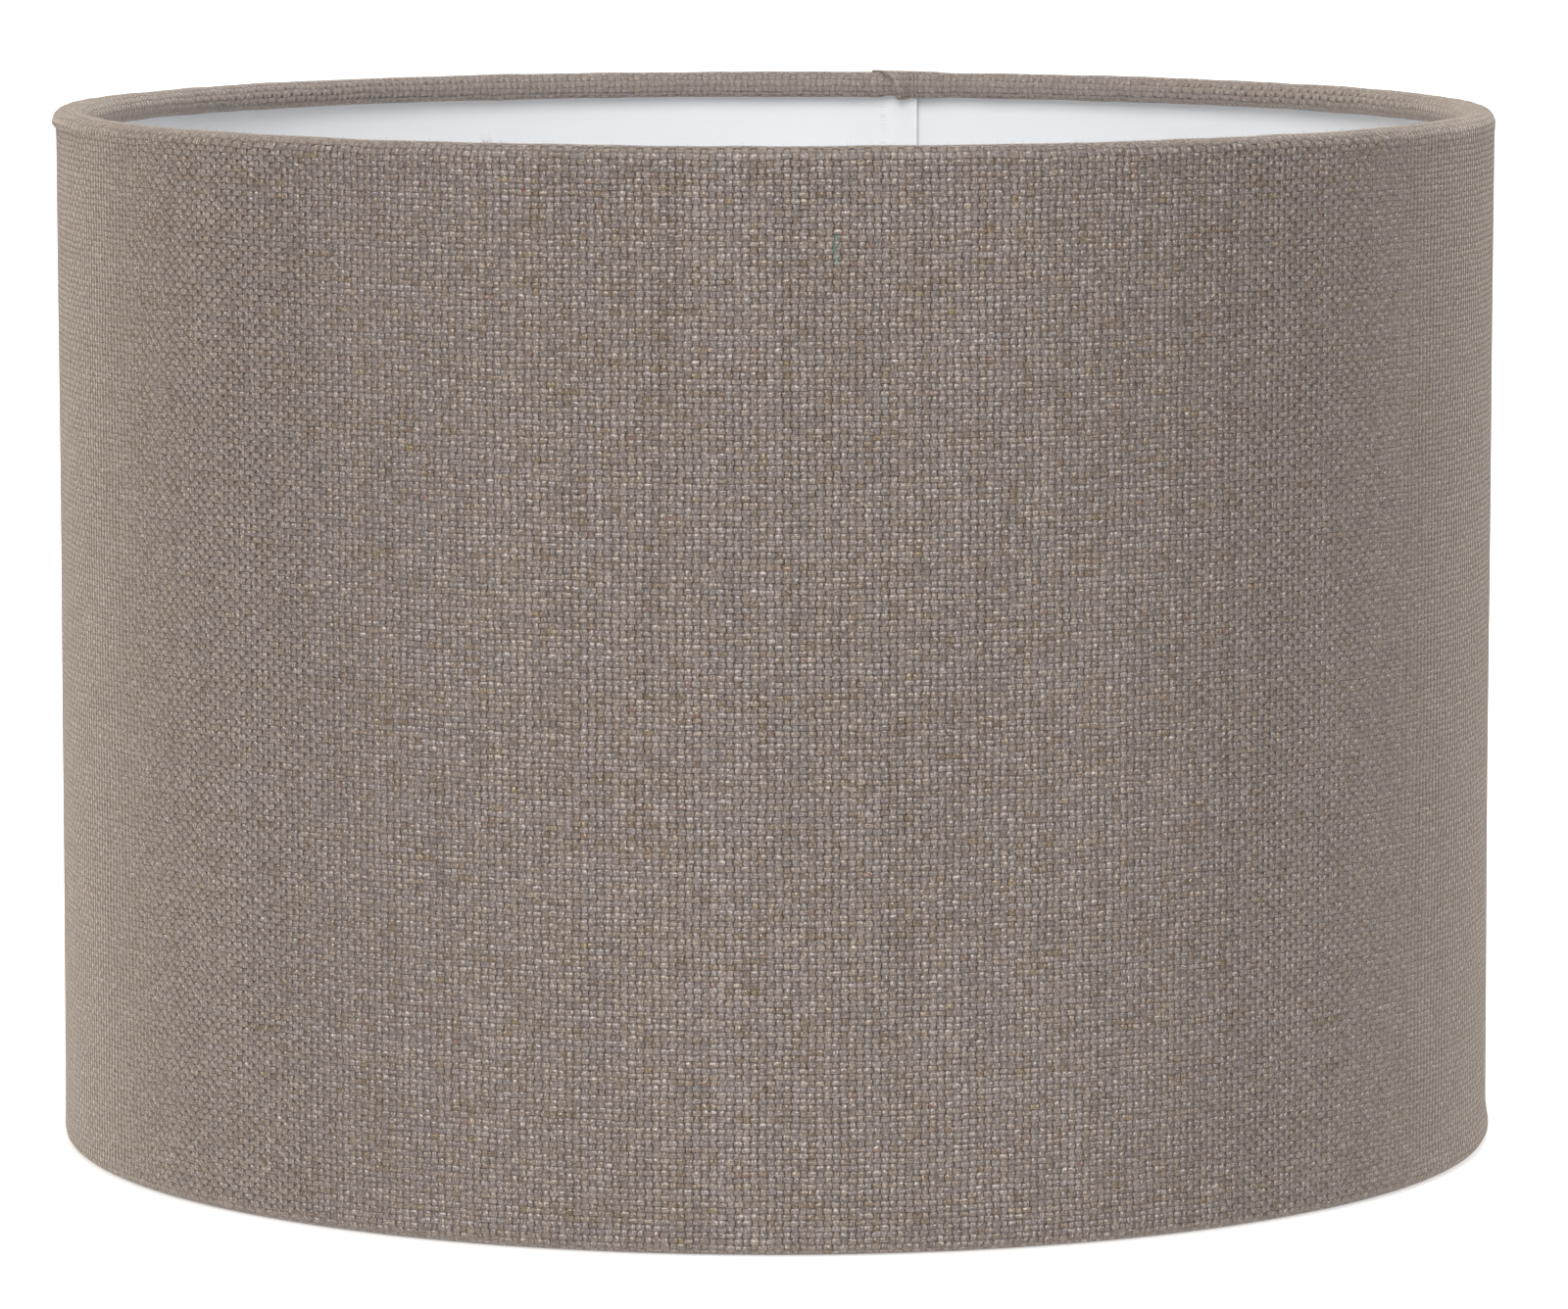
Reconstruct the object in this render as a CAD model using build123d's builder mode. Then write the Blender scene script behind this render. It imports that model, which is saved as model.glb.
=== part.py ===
from build123d import *
import os
from math import cos, degrees, radians, sin

# Drum lamp shade: a linen cover laminated on a plastic liner, rolled over two wire rings,
# with a recessed three-arm spider at the bottom ring.
# Millimetres. The origin is on the shade's axis, in the plane that it stands on, and +Z is up.
# The seam is at the back, on the +Y side, a little towards +X.

# ---- overall
shade_diameter = 250.0        # over the cloth
shade_height = 180.0          # over both rolled edges

# ---- sheets and tapes
cloth_thickness = 0.6
liner_thickness = 0.4
ring_tape_thickness = 0.15
seam_tape_thickness = 0.1

# ---- seam
seam_angle = 79.0             # degrees from +X, the middle of the lap
liner_lap = 6.6               # how far the liner's two ends lie over each other
cloth_lap = 10.6              # how far the cloth's two ends lie over each other, eight threads
liner_step_run = 6.0          # length over which the liner steps in to lie over its other end
seam_tape_inset = 0.4         # the tape stops short of both ends and both edges of the lap

# ---- wire rings and rolled edges
ring_wire = 3.0
ring_seat_gap = 0.05          # between the taped ring and the liner's lap
ring_tape_slot = 30.0         # degrees of the wire that the tape leaves bare, on the liner's side
roll_turn = 200.0             # degrees that the cloth turns round the ring past the top of the roll

# ---- spider
arm_count = 3
first_arm_angle = 30.0
arm_wire = 2.6
arm_foot = 14.0               # level stretch beside the bottom ring
arm_toe = 9.0                 # level stretch beside the fitter ring
arm_bend_radius = 8.0
weld_radius = 2.0
weld_offset = 0.3             # from a joint to the middle of its bead, along the arm
weld_slot_gap = 0.3           # from a weld to the slot cut for it in the cloth and the tape
weld_slot_reach = 0.3         # how far the slot goes past the middle of the ring's wire

# ---- fitter ring and reducer
fitter_recess = 28.0          # from the base plane up to the fitter ring's underside
fitter_hole = 42.0
fitter_outer = 58.0
fitter_thickness = 1.5
fitter_edge_radius = 0.4
reducer_bore = 29.0
reducer_flange = 50.0
reducer_flange_thickness = 1.6
reducer_gap = 0.3             # radial play of the reducer's spigot in the fitter ring's hole
reducer_edge_radius = 0.4
spigot_chamfer = 0.3

# ---- worked out from the above
cover_radius = shade_diameter / 2
liner_outer = cover_radius - cloth_thickness
liner_inner = liner_outer - liner_thickness
lap_outer = liner_inner - seam_tape_thickness
lap_inner = lap_outer - liner_thickness
wire_radius = ring_wire / 2
taped_radius = wire_radius + ring_tape_thickness
roll_radius = taped_radius + cloth_thickness
ring_radius = lap_inner - ring_seat_gap - taped_radius
corner_radius = cover_radius - roll_radius
bottom_ring_z = roll_radius
top_ring_z = shade_height - roll_radius
fitter_radius = fitter_outer / 2
fitter_middle_z = fitter_recess + fitter_thickness / 2
fitter_top_z = fitter_recess + fitter_thickness
arm_angles = [first_arm_angle + 360 / arm_count * i for i in range(arm_count)]


def polar(radius, angle):
    """A point in plan, from its distance to the axis and its angle."""
    return (radius * cos(radians(angle)), radius * sin(radians(angle)))


def radial_plane(angle):
    """The upright plane through the axis at an angle: local x runs outwards and local y is up."""
    across = (sin(radians(angle)), -cos(radians(angle)), 0)
    return Plane(origin=(0, 0, 0), x_dir=(*polar(1, angle), 0), z_dir=across)


def arc_angle(length, radius):
    """The angle in degrees of an arc, from its length."""
    return degrees(length / radius)


def cloth_face(radius, wall):
    """One face of the cloth in section, from the bottom tuck round the wall to the top tuck."""
    CenterArc((ring_radius, bottom_ring_z), radius, 270 - roll_turn, roll_turn)
    Line((ring_radius, bottom_ring_z - radius), (corner_radius, bottom_ring_z - radius))
    CenterArc((corner_radius, bottom_ring_z), radius, 270, 90)
    Line((wall, bottom_ring_z), (wall, top_ring_z))
    CenterArc((corner_radius, top_ring_z), radius, 0, 90)
    Line((corner_radius, top_ring_z + radius), (ring_radius, top_ring_z + radius))
    CenterArc((ring_radius, top_ring_z), radius, 90, roll_turn)


def roll_point(radius, ring_z, turn):
    """A point in section on a circle about a ring's wire."""
    across, up = polar(radius, turn)
    return (ring_radius + across, ring_z + up)


def cut_arm_slots():
    """Slots through the inner half of the bottom roll, one for each arm and its weld."""
    slot_width = 2 * (weld_radius + weld_slot_gap)
    slot_depth = 2 * roll_radius
    slot_middle = ring_radius + weld_slot_reach - slot_depth / 2
    with PolarLocations(slot_middle, arm_count, start_angle=first_arm_angle):
        Box(slot_depth, slot_width, 3 * roll_radius, mode=Mode.SUBTRACT)


os.makedirs("parts", exist_ok=True)

# ---- fabric cover: the wall, both rolls and the lap at the seam
bottom_tuck = 270 - roll_turn
top_tuck = 90 + roll_turn
cloth_lap_angle = arc_angle(cloth_lap, cover_radius)
with BuildPart() as fabric_cover:
    with BuildSketch(Plane.XZ) as cover_section:
        with BuildLine():
            cloth_face(roll_radius, cover_radius)
            cloth_face(taped_radius, liner_outer)
            for ring_z, tuck in ((bottom_ring_z, bottom_tuck), (top_ring_z, top_tuck)):
                Line(roll_point(taped_radius, ring_z, tuck), roll_point(roll_radius, ring_z, tuck))
        make_face()
    revolve(axis=Axis.Z)
    with BuildSketch(radial_plane(seam_angle - cloth_lap_angle / 2)) as lap_section:
        with Locations((cover_radius, shade_height / 2)):
            Rectangle(cloth_thickness, top_ring_z - bottom_ring_z, align=(Align.MIN, Align.CENTER))
    revolve(axis=Axis.Z, revolution_arc=cloth_lap_angle)
    with Locations((0, 0, bottom_ring_z)):
        cut_arm_slots()
fabric_cover.part.label = "fabric_cover"
export_step(fabric_cover.part, "parts/fabric_cover.step")

# ---- liner sheet: one strip, whose end steps in and lies over its start
lap_half = arc_angle(liner_lap, liner_inner) / 2
hidden_end = seam_angle + lap_half
free_edge = seam_angle - lap_half
step_start = hidden_end + arc_angle(liner_step_run, liner_inner)
step_end = hidden_end + arc_angle(seam_tape_inset, liner_inner)
main_turn = 360 - (step_start - hidden_end)
lap_turn = step_end - free_edge
with BuildPart() as liner_sheet:
    with BuildSketch(Plane.XY.offset(bottom_ring_z)) as liner_plan:
        with BuildLine():
            CenterArc((0, 0), liner_outer, step_start, main_turn)
            CenterArc((0, 0), liner_inner, step_start, main_turn)
            CenterArc((0, 0), lap_outer, free_edge, lap_turn)
            CenterArc((0, 0), lap_inner, free_edge, lap_turn)
            Line(polar(liner_outer, hidden_end), polar(liner_inner, hidden_end))
            Line(polar(lap_outer, free_edge), polar(lap_inner, free_edge))
            Line(polar(liner_outer, step_start), polar(lap_outer, step_end))
            Line(polar(liner_inner, step_start), polar(lap_inner, step_end))
        make_face()
    extrude(amount=top_ring_z - bottom_ring_z)
liner_sheet.part.label = "liner_sheet"
export_step(liner_sheet.part, "parts/liner_sheet.step")

# ---- liner seam tape, between the two layers of the lap
tape_half = arc_angle(liner_lap / 2 - seam_tape_inset, liner_inner)
with BuildPart() as liner_seam_tape:
    with BuildSketch(Plane.XY.offset(bottom_ring_z + seam_tape_inset)) as tape_plan:
        with BuildLine():
            CenterArc((0, 0), liner_inner, seam_angle - tape_half, 2 * tape_half)
            CenterArc((0, 0), lap_outer, seam_angle - tape_half, 2 * tape_half)
            for end in (seam_angle - tape_half, seam_angle + tape_half):
                Line(polar(lap_outer, end), polar(liner_inner, end))
        make_face()
    extrude(amount=top_ring_z - bottom_ring_z - 2 * seam_tape_inset)
liner_seam_tape.part.label = "liner_seam_tape"
export_step(liner_seam_tape.part, "parts/liner_seam_tape.step")


# ---- wire rings, and the tape round each of them: a C in section, open on the liner's side
bare_half = ring_tape_slot / 2
ring_wires = {}
for name, ring_z in (("top_ring", top_ring_z), ("bottom_ring", bottom_ring_z)):
    with BuildPart() as ring:
        with BuildSketch(Plane.XZ) as wire_section:
            with Locations((ring_radius, ring_z)):
                Circle(wire_radius)
        revolve(axis=Axis.Z)
    ring_wires[name] = ring.part
    ring.part.label = name + "_wire"
    export_step(ring.part, f"parts/{name}_wire.step")

    with BuildPart() as tape:
        with BuildSketch(Plane.XZ) as tape_section:
            with BuildLine():
                for radius in (wire_radius, taped_radius):
                    CenterArc((ring_radius, ring_z), radius, bare_half, 360 - ring_tape_slot)
                for end in (bare_half, -bare_half):
                    Line(roll_point(wire_radius, ring_z, end), roll_point(taped_radius, ring_z, end))
            make_face()
        revolve(axis=Axis.Z)
        with Locations((0, 0, bottom_ring_z)):
            cut_arm_slots()
    tape.part.label = name + "_tape"
    export_step(tape.part, f"parts/{name}_tape.step")

# ---- fitter ring: a pressed steel washer that sits over a lampholder
with BuildPart() as fitter_ring:
    with BuildSketch(Plane.XY.offset(fitter_recess)):
        Circle(fitter_radius)
        Circle(fitter_hole / 2, mode=Mode.SUBTRACT)
    extrude(amount=fitter_thickness)
    fillet(fitter_ring.edges().group_by(Axis.Z)[-1].sort_by(SortBy.RADIUS)[0], fitter_edge_radius)
fitter_ring.part.label = "fitter_ring"
export_step(fitter_ring.part, "parts/fitter_ring.step")

# ---- spider arms: bent wires from the bottom ring up to the fitter ring's rim
arm_start = ring_radius - wire_radius / 2
arm_points = [
    (arm_start, bottom_ring_z),
    (ring_radius - arm_foot, bottom_ring_z),
    (fitter_radius + arm_toe, fitter_middle_z),
    (fitter_radius - arm_wire / 2, fitter_middle_z),
]
arm_parts = []
for number, angle in enumerate(arm_angles, start=1):
    plane = radial_plane(angle)
    with BuildPart() as spider_arm:
        with BuildLine(plane) as arm_path:
            FilletPolyline(*arm_points, radius=arm_bend_radius)
        with BuildSketch(Plane(origin=arm_path.line @ 0, z_dir=arm_path.line % 0)):
            Circle(arm_wire / 2)
        sweep()
        with BuildSketch(plane):
            with Locations((ring_radius, bottom_ring_z)):
                Circle(wire_radius)
        revolve(axis=Axis.Z, mode=Mode.SUBTRACT)
        with Locations((0, 0, fitter_middle_z)):
            Cylinder(fitter_radius, 2 * arm_wire, mode=Mode.SUBTRACT)
    arm_parts.append(spider_arm.part)
    spider_arm.part.label = f"spider_arm_{number}"
    export_step(spider_arm.part, f"parts/spider_arm_{number}.step")


# ---- welds: beads round the arms' two ends, cut to sit on the wires and the fitter ring
def weld_beads(label, radius, height, solid_pieces):
    """One bead for each arm, less the pieces that it joins."""
    with BuildPart() as beads:
        with Locations((0, 0, height)):
            with PolarLocations(radius, arm_count, start_angle=first_arm_angle):
                Sphere(weld_radius, rotation=(0, 90, 0))
        for piece in solid_pieces:
            add(piece, mode=Mode.SUBTRACT)
    beads.part.label = label
    export_step(beads.part, f"parts/{label}.step")


ring_weld_radius = ring_radius - wire_radius - weld_offset
fitter_weld_radius = fitter_radius + weld_offset
ring_pieces = [ring_wires["bottom_ring"], *arm_parts]
fitter_pieces = [fitter_ring.part, *arm_parts]
weld_beads("arm_ring_welds", ring_weld_radius, bottom_ring_z, ring_pieces)
weld_beads("arm_fitter_welds", fitter_weld_radius, fitter_middle_z, fitter_pieces)

# ---- reducer ring: a loose plastic washer that narrows the fitter ring's hole
with BuildPart() as reducer_ring:
    with BuildSketch(Plane.XY.offset(fitter_recess)):
        Circle(fitter_hole / 2 - reducer_gap)
    extrude(amount=fitter_thickness)
    chamfer(reducer_ring.edges().group_by(Axis.Z)[0], spigot_chamfer)
    with BuildSketch(Plane.XY.offset(fitter_top_z)):
        Circle(reducer_flange / 2)
    extrude(amount=reducer_flange_thickness)
    fillet(reducer_ring.edges().group_by(Axis.Z)[-1], reducer_edge_radius)
    Hole(reducer_bore / 2)
reducer_ring.part.label = "reducer_ring"
export_step(reducer_ring.part, "parts/reducer_ring.step")
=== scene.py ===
# %% [markdown]
# # A drum lamp shade, from the frame to the last loose fibre
# The shade is a strip of linen glued on a thin white plastic liner, bent into a drum and rolled
# over a wire ring at each end. A spider of three wires holds the fitter near the bottom.
# The frame gives every size and place. It comes from the design, so nothing is measured twice:
# the cells below ask the frame where a piece is and build the look round it, in metres.

# %% Load the frame
import math

import bpy
import numpy as np
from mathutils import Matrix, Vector


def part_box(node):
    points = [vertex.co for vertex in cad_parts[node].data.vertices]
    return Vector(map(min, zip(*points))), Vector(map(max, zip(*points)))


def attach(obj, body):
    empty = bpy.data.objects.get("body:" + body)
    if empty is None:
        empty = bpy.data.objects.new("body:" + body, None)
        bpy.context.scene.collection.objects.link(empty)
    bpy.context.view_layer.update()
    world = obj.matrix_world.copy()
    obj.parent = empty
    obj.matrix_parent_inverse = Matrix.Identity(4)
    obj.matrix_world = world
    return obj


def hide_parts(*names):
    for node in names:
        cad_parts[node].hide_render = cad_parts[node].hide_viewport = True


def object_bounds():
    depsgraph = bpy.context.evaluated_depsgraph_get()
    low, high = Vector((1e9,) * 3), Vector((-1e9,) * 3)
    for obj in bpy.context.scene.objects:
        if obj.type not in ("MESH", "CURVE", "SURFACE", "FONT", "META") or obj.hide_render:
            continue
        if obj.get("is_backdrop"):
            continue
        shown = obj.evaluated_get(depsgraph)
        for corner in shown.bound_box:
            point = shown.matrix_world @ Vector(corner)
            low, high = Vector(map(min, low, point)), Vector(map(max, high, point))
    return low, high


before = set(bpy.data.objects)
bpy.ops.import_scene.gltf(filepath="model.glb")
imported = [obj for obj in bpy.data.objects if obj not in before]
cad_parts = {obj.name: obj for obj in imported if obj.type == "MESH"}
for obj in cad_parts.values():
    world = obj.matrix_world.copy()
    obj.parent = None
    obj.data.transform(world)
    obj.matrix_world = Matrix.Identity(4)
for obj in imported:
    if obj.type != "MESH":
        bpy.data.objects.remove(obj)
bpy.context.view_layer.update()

# %% [markdown]
# ## The shade's own measures
# A rolled edge is a stack: wire, tape, cloth. The boxes of the ring, its tape and the cover give
# each radius in that stack, so the cloth made here always fits the wire that it wraps.
# The seam's place comes from the strip of tape that lies in it.

# %% Read the sizes
MM = 0.001
cover_low, cover_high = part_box("fabric_cover")
wire_low, wire_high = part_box("top_ring_wire")
tape_low, tape_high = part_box("top_ring_tape")
seam_low, seam_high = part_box("liner_seam_tape")
liner_low, liner_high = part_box("liner_sheet")

DRUM_RADIUS = (cover_high.x - cover_low.x) / 2
DRUM_HEIGHT = cover_high.z - cover_low.z
WIRE_RADIUS = (wire_high.z - wire_low.z) / 2
TAPED_RADIUS = (tape_high.z - tape_low.z) / 2
CLOTH = cover_high.z - tape_high.z
LINER = 0.4 * MM
ROLL_RADIUS = TAPED_RADIUS + CLOTH
RING_RADIUS = wire_high.x - WIRE_RADIUS
CORNER_RADIUS = DRUM_RADIUS - ROLL_RADIUS
BOTTOM_Z = cover_low.z + ROLL_RADIUS
TOP_Z = cover_high.z - ROLL_RADIUS
seam_middle = (seam_low + seam_high) / 2
SEAM_ANGLE = math.atan2(seam_middle.y, seam_middle.x)
print(f"drum {2 * DRUM_RADIUS:.3f} x {DRUM_HEIGHT:.3f} m, roll {2000 * ROLL_RADIUS:.2f} mm,",
      f"cloth {1000 * CLOTH:.2f} mm, seam at {math.degrees(SEAM_ANGLE):.1f} degrees")

# %% [markdown]
# ## The camera
# A long lens from a little above the rim keeps the drum's sides nearly upright and shows a
# narrow slice of the inside. Its distance and height are multiples of the drum's diameter, so it
# still frames the shade if the design's size changes. It turns a hair to one side.

# %% Place the camera
LONG_LENS = 195.9
CAMERA_BACK, CAMERA_UP = 5.954, 1.0344      # in drum diameters
LOOK_DOWN, LOOK_ASIDE = 0.1169, -0.001      # radians

diameter = 2 * DRUM_RADIUS
camera_data = bpy.data.cameras.new("studio_camera")
camera_data.lens = LONG_LENS
camera_data.clip_end = 100
camera = bpy.data.objects.new("studio_camera", camera_data)
bpy.context.collection.objects.link(camera)
camera.location = (0, -CAMERA_BACK * diameter, CAMERA_UP * diameter)
camera.rotation_euler = (math.pi / 2 - LOOK_DOWN, 0, LOOK_ASIDE)
bpy.context.scene.camera = camera
print("camera at", [round(c, 3) for c in camera.location])

# %% [markdown]
# ## Floor and light
# The shade stands in a white studio. A large soft key in front and above reaches over the near
# rim to the liner at the back. Two lights from behind, the left one warmer, graze the sides, and
# one overhead reaches down inside. The surround is shown white to the camera but is dimmer as a
# light, so that the yarns keep some modelling from the lamps.

# %% Build the stage
bpy.context.scene.view_settings.view_transform = "Standard"
FLOOR_GAP = 0.15 * MM           # loose fibres under the bottom roll reach a little below the design
FLOOR_HALF_WIDTH = 8.0
SEEN_WHITE, SURROUND_LIGHT = 1.05, 0.34


def stage_floor(height, half_width):
    """A plain square floor under the shade."""
    mesh = bpy.data.meshes.new("studio_floor")
    corners = [(-1, -1), (1, -1), (1, 1), (-1, 1)]
    points = [(half_width * x, half_width * y, height) for x, y in corners]
    mesh.from_pydata(points, [], [(0, 1, 2, 3)])
    floor = bpy.data.objects.new("studio_floor", mesh)
    bpy.context.collection.objects.link(floor)
    floor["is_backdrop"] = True
    return floor


def soft_light(name, place, aim, size, power, colour):
    """A square area light that points at a spot."""
    data = bpy.data.lights.new(name, "AREA")
    data.size = size
    data.energy = power
    data.color = colour
    light = bpy.data.objects.new(name, data)
    bpy.context.collection.objects.link(light)
    light.location = place
    light.rotation_euler = (Vector(aim) - Vector(place)).to_track_quat("-Z", "Y").to_euler()
    return light


floor = stage_floor(cover_low.z - FLOOR_GAP, FLOOR_HALF_WIDTH)
middle = (0, 0, DRUM_HEIGHT / 2)
lamps = {                       # place, size, watts and colour
    "key_light": ((-0.4, -2.3, 1.5), 1.4, 45, (1.0, 0.995, 0.99)),
    "left_light": ((-1.6, 1.2, 0.8), 1.0, 9.5, (1.0, 0.72, 0.44)),
    "right_light": ((1.3, 1.6, 0.8), 1.0, 14, (1.0, 0.95, 0.88)),
    "top_light": ((0.0, 0.2, 2.6), 1.5, 32, (1.0, 1.0, 1.0)),
}
for name, (place, size, power, colour) in lamps.items():
    soft_light(name, place, middle, size, power, colour)

world = bpy.data.worlds.new("studio_surround")
bpy.context.scene.world = world
world.use_nodes = True
surround = world.node_tree
surround.nodes.clear()
seen = surround.nodes.new("ShaderNodeBackground")
seen.inputs["Color"].default_value = (1, 1, 1, 1)
seen.inputs["Strength"].default_value = SEEN_WHITE
lighting = surround.nodes.new("ShaderNodeBackground")
lighting.inputs["Color"].default_value = (1.0, 0.985, 0.965, 1)
lighting.inputs["Strength"].default_value = SURROUND_LIGHT
ray = surround.nodes.new("ShaderNodeLightPath")
choose = surround.nodes.new("ShaderNodeMixShader")
sky_out = surround.nodes.new("ShaderNodeOutputWorld")
surround.links.new(ray.outputs["Is Camera Ray"], choose.inputs[0])
surround.links.new(lighting.outputs[0], choose.inputs[1])
surround.links.new(seen.outputs[0], choose.inputs[2])
surround.links.new(choose.outputs[0], sky_out.inputs["Surface"])
print("stage: a floor,", len(lamps), "soft lights and a pale surround")

# %% [markdown]
# ## Helpers for sheets
# Both the linen and the liner are long strips bent round the drum, and each has a front, a back
# and four thin edges. One helper closes a grid of points into such a sheet. Making the faces
# from two grids keeps the weave's map in step with the threads, which a remesh would lose.

# %% Sheet helpers
def smooth_step(x):
    """0 below 0, 1 above 1 and a soft ramp in between."""
    x = np.clip(x, 0, 1)
    return x * x * (3 - 2 * x)


def wander(angle, waves, seed):
    """A smooth closed curve round the drum: waves is a list of (count, height)."""
    phases = np.random.default_rng(seed).uniform(0, 2 * math.pi, len(waves))
    return sum(size * np.cos(count * angle + phase) for (count, size), phase in zip(waves, phases))


def hill(angle, centre, half_width):
    """1 at the centre angle, falling softly to 0 at half_width to either side."""
    away = np.abs((angle - centre + math.pi) % (2 * math.pi) - math.pi)
    return 0.5 + 0.5 * np.cos(math.pi * np.clip(away / half_width, 0, 1))


def grid_faces(rows, columns, start, flip):
    """Quads over a grid of points that is stored row by row."""
    r, c = np.meshgrid(np.arange(rows - 1), np.arange(columns - 1), indexing="ij")
    a = start + r * columns + c
    quads = np.stack([a, a + 1, a + columns + 1, a + columns], -1).reshape(-1, 4)
    return quads[:, ::-1] if flip else quads


def edge_faces(rows, columns, back):
    """Quads that join the rim of the front grid to the rim of the back grid."""
    index = np.arange(rows * columns).reshape(rows, columns)
    rim = np.concatenate([index[0, :-1], index[:-1, -1], index[-1, :0:-1], index[:0:-1, 0]])
    following = np.roll(rim, -1)
    return np.stack([following, rim, rim + back, following + back], -1)


def link_mesh(name, points, faces):
    """A smooth-shaded mesh object with sharp cut edges."""
    mesh = bpy.data.meshes.new(name)
    mesh.from_pydata(points, [], faces)
    mesh.validate()
    mesh.shade_smooth()
    mesh.set_sharp_from_angle(angle=math.radians(50))
    piece = bpy.data.objects.new(name, mesh)
    bpy.context.collection.objects.link(piece)
    return piece


def closed_sheet(name, front, back):
    """A sheet from two grids of points, shape (rows, columns, 3), closed at its four edges."""
    rows, columns = front.shape[:2]
    count = rows * columns
    points = np.concatenate([front.reshape(-1, 3), back.reshape(-1, 3)])
    faces = np.concatenate([
        grid_faces(rows, columns, 0, False),
        grid_faces(rows, columns, count, True),
        edge_faces(rows, columns, count),
    ])
    return link_mesh(name, points.tolist(), faces.tolist())


# %% [markdown]
# ## The linen
# The cloth is plain-woven. Counting in threads makes the rest simple: a column of the grid is so
# many warp threads from the hidden end, and a row is so many weft threads up the strip. The
# strip starts under the seam, goes once round the drum and ends on top of its own start.
# In section it comes out from behind the bottom wire, under it, up the wall, over the top wire
# and back in behind that.

# %% Thread counts and the strip's length
WARPS = 592                     # warp threads once round, four patterns of 148
PATTERN_WARPS = 148             # even, so that over and under carry on from one to the next
LAP_WARPS = 8                   # warp threads in the lap
SEAM_SLIDE = 3.8                # threads by which the lap's end slides on the top roll
WEFT_PITCH = 1.0 * MM
FULL_TURN = math.radians(200)   # how far the cloth turns past the wire's far side
SLOT_TURN = math.radians(18)    # how far it turns where an arm comes through
TURN_SLACK = math.radians(12)   # how ragged the end of the tuck is
SLOT_HALF_WIDTH = 2.4 * MM
SLOT_SHOULDER = 1.2 * MM
LAP_AIR = 0.06 * MM             # glue and air between the lap's two layers

cloth_middle = (ROLL_RADIUS + TAPED_RADIUS) / 2
corner_length = cloth_middle * math.pi / 2
flat_length = CORNER_RADIUS - RING_RADIUS
wall_length = TOP_Z - BOTTOM_Z
tuck_length = cloth_middle * (FULL_TURN + TURN_SLACK)
strip_width = wall_length + 2 * (corner_length + flat_length + tuck_length)
pitch_angle = 2 * math.pi / WARPS
START_ANGLE = SEAM_ANGLE - pitch_angle * LAP_WARPS / 2
weft_count = round(strip_width / WEFT_PITCH)

# %% [markdown]
# Columns are close together where something happens, at the seam and at the three arms, and two
# threads apart elsewhere. The arms' angles are read from the middles of their boxes.

# %% Columns and rows of the cloth's grid
arm_angles = []
for number in (1, 2, 3):
    low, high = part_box(f"spider_arm_{number}")
    centre = (low + high) / 2
    arm_angles.append(math.atan2(centre.y, centre.x) % (2 * math.pi))


def warp_at(angle):
    """The thread number, counted from the hidden end, that lies at an angle."""
    return ((angle - START_ANGLE) % (2 * math.pi)) / pitch_angle


def close_to(place, reach, step):
    """Thread numbers in small steps about a place."""
    return np.arange(round(place) - reach, round(place) + reach + step / 2, step)


coarse = np.arange(0, WARPS + LAP_WARPS + 1, 2.0)
fine = [close_to(warp_at(a), 6, 0.25) for a in arm_angles]
fine += [np.arange(0, 10, 0.5), np.arange(WARPS - 6, WARPS + LAP_WARPS + 0.1, 0.25)]
warp_numbers = np.unique(np.concatenate([coarse, *fine]))
column_angle = START_ANGLE + warp_numbers * pitch_angle

TUCK_ROWS, FLAT_ROWS, CORNER_ROWS = 18, 2, 8
NEAR_ROLL = np.array([0, 0.25, 0.5, 0.75, 1.0, 1.4, 2.0, 3.0, 4.0, 5.5]) * MM
wall_steps = np.concatenate([NEAR_ROLL, np.linspace(8 * MM, wall_length / 2, 19)]) / wall_length


def section_rows():
    """For each row from the bottom tuck to the top one: its half, stretch, and how far along."""
    half = [("wall", share) for share in wall_steps[::-1]]
    half += [("corner", i / CORNER_ROWS) for i in range(CORNER_ROWS - 1, 0, -1)]
    half += [("flat", i / FLAT_ROWS) for i in range(FLAT_ROWS, 0, -1)]
    half += [("tuck", i / TUCK_ROWS) for i in range(TUCK_ROWS + 1)]
    lower = [(-1, kind, share) for kind, share in half[:0:-1]]
    return lower + [(1, kind, share) for kind, share in half]


rows = section_rows()
print(f"cloth grid: {len(rows)} rows by {len(warp_numbers)} columns")

# %% [markdown]
# A real roll isn't perfect. Its tuck ends raggedly, the cloth stands off the wire by a fraction
# of a millimetre here and there, and on one side it bulges past the wall like a small lip.
# These are sums of a few waves with whole numbers round the drum, so they meet at the seam.

# %% How the cloth departs from the design
def wall_wave(angle, height):
    """The drum's wall is out of true by a tenth of a millimetre or so."""
    lift = np.sin(math.pi * np.clip((height - BOTTOM_Z) / wall_length, 0, 1))
    broad = wander(angle, [(3, 0.10), (5, 0.06), (8, 0.05)], 11)
    slanted = wander(angle + height * 6, [(7, 0.03), (12, 0.03)], 12)
    return MM * lift * (broad + slanted - 0.1)


def turn_of(angle, side):
    """How far the tuck turns behind the wire, with slots at the arms on the bottom roll."""
    ragged = wander(angle, [(9, 0.3), (23, 0.25), (61, 0.25), (97, 0.2)], 20 + side)
    turn = FULL_TURN + TURN_SLACK * np.clip(ragged, -1, 1)
    if side > 0:
        return turn
    for arm in arm_angles:
        away = np.abs((angle - arm + math.pi) % (2 * math.pi) - math.pi) * RING_RADIUS
        beside = smooth_step((away - SLOT_HALF_WIDTH) / SLOT_SHOULDER)
        turn = SLOT_TURN + (turn - SLOT_TURN) * beside
    return turn


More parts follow.
